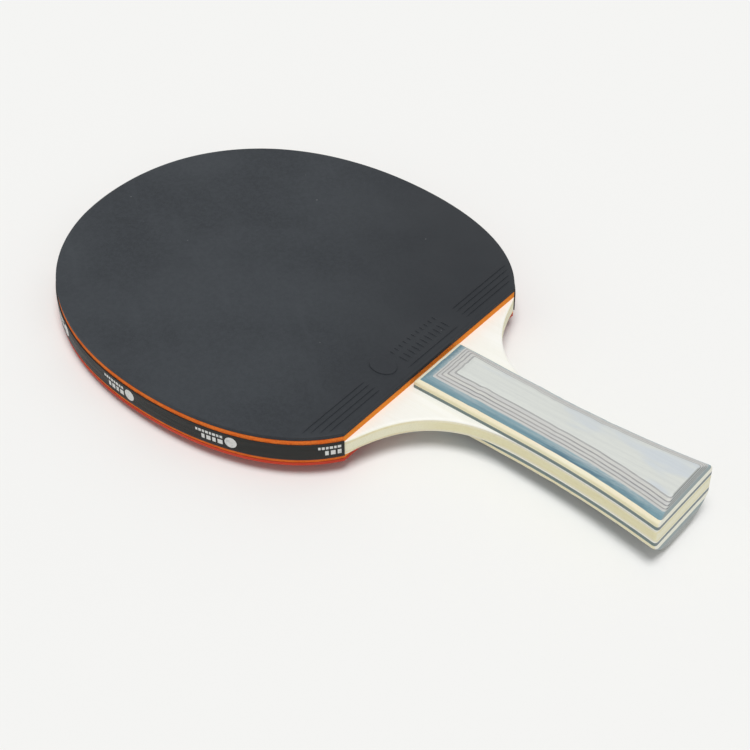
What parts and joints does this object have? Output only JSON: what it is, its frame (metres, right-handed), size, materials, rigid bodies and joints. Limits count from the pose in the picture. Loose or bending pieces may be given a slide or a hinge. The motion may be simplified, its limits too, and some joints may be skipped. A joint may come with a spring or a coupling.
{
  "type": "table tennis paddle",
  "caption": "Table tennis paddle: flat plywood blade with black and red rubber coverings on sponge, taped rim and a flared handle of striped veneers.",
  "frame": {"origin": "centre of the bounding box, on the mid-plane of the blade and on the paddle's long axis", "axes": "+X along the paddle from the tip of the head to the butt of the handle, +Y across the head, +Z out of the black face"},
  "size_m": [0.2594, 0.1508, 0.024],
  "materials": {
    "blade_wood": "bare, sanded, pale cream",
    "blade_face_wood": "bare, sanded smooth, near white",
    "orange_sponge": "open-celled orange sponge, cut edges",
    "black_rubber": "matte, fine grain, smooth side out",
    "red_rubber": "matte, fine grain, smooth side out",
    "edge_tape": "black woven edge tape, satin, with plain pale marks",
    "navy_veneer": "dyed thin veneer",
    "cream_wood": "bare, satin",
    "blue_wood": "dyed blue, satin",
    "grey_wood": "dyed pale grey, satin",
    "dark_veneer": "dyed dark grey, very thin",
    "cap_wood": "dyed pale grey, smooth satin"
  },
  "bodies": {
    "root": {"blade_core": "blade_wood", "blade_inner_veneer_black_side": "blade_wood", "blade_face_veneer_black_side": "blade_face_wood", "blade_inner_veneer_red_side": "blade_wood", "blade_face_veneer_red_side": "blade_face_wood", "black_side_sponge": "orange_sponge", "red_side_sponge": "orange_sponge", "black_topsheet": "black_rubber", "red_topsheet": "red_rubber", "edge_tape": "edge_tape", "handle_navy_veneer_black_side": "navy_veneer", "handle_cream_ply_black_side": "cream_wood", "handle_blue_ply_black_side": "blue_wood", "handle_grey_ply_1_black_side": "grey_wood", "handle_dark_veneer_1_black_side": "dark_veneer", "handle_grey_ply_2_black_side": "grey_wood", "handle_dark_veneer_2_black_side": "dark_veneer", "handle_grey_ply_3_black_side": "grey_wood", "handle_dark_veneer_3_black_side": "dark_veneer", "handle_grey_ply_4_black_side": "grey_wood", "handle_dark_veneer_4_black_side": "dark_veneer", "handle_cap_ply_black_side": "cap_wood", "handle_navy_veneer_red_side": "navy_veneer", "handle_cream_ply_red_side": "cream_wood", "handle_blue_ply_red_side": "blue_wood", "handle_grey_ply_1_red_side": "grey_wood", "handle_dark_veneer_1_red_side": "dark_veneer", "handle_grey_ply_2_red_side": "grey_wood", "handle_dark_veneer_2_red_side": "dark_veneer", "handle_grey_ply_3_red_side": "grey_wood", "handle_dark_veneer_3_red_side": "dark_veneer", "handle_grey_ply_4_red_side": "grey_wood", "handle_dark_veneer_4_red_side": "dark_veneer", "handle_cap_ply_red_side": "cap_wood"}
  },
  "joints": []
}
